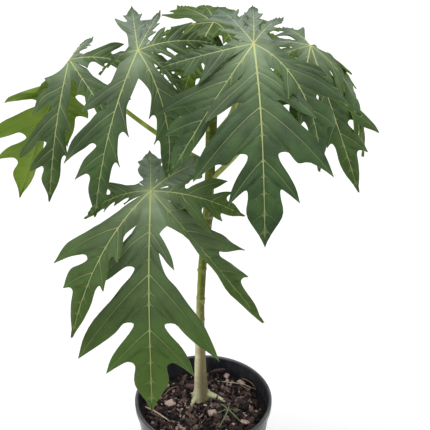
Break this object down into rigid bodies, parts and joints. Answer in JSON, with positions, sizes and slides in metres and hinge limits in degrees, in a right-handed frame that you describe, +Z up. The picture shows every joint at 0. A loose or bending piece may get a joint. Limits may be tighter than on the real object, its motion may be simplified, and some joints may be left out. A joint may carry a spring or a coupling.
{
  "type": "potted papaya tree",
  "caption": "Young papaya tree in a round nursery pot: one slim trunk, long leaf stalks and a crown of deeply lobed palmate leaves.",
  "frame": {"origin": "middle of the pot's flat underside, on the floor", "axes": "+Z up along the pot's axis, -Y towards the pictured side, +X to the right of that side"},
  "size_m": [0.5255, 0.507, 0.7887],
  "materials": {
    "pot": "satin black moulded plastic",
    "mix": "moist bark and peat potting mix",
    "trunk": "smooth pale green bark with leaf scars",
    "stalk": "smooth green stalk",
    "leaf": "waxy grey-green blade with pale veins, yellower underneath"
  },
  "bodies": {
    "root": {"pot": "pot", "potting_mix": "mix", "trunk": "trunk", "leaf_front_low": "leaf", "stalk_front_low": "stalk", "leaf_right": "leaf", "stalk_right": "stalk", "leaf_far_left": "leaf", "stalk_far_left": "stalk", "leaf_front_top": "leaf", "stalk_front_top": "stalk", "leaf_back_right": "leaf", "stalk_back_right": "stalk", "leaf_top_left": "leaf", "stalk_top_left": "stalk", "leaf_back_top": "leaf", "stalk_back_top": "stalk", "leaf_young": "leaf", "stalk_young": "stalk"}
  },
  "joints": []
}
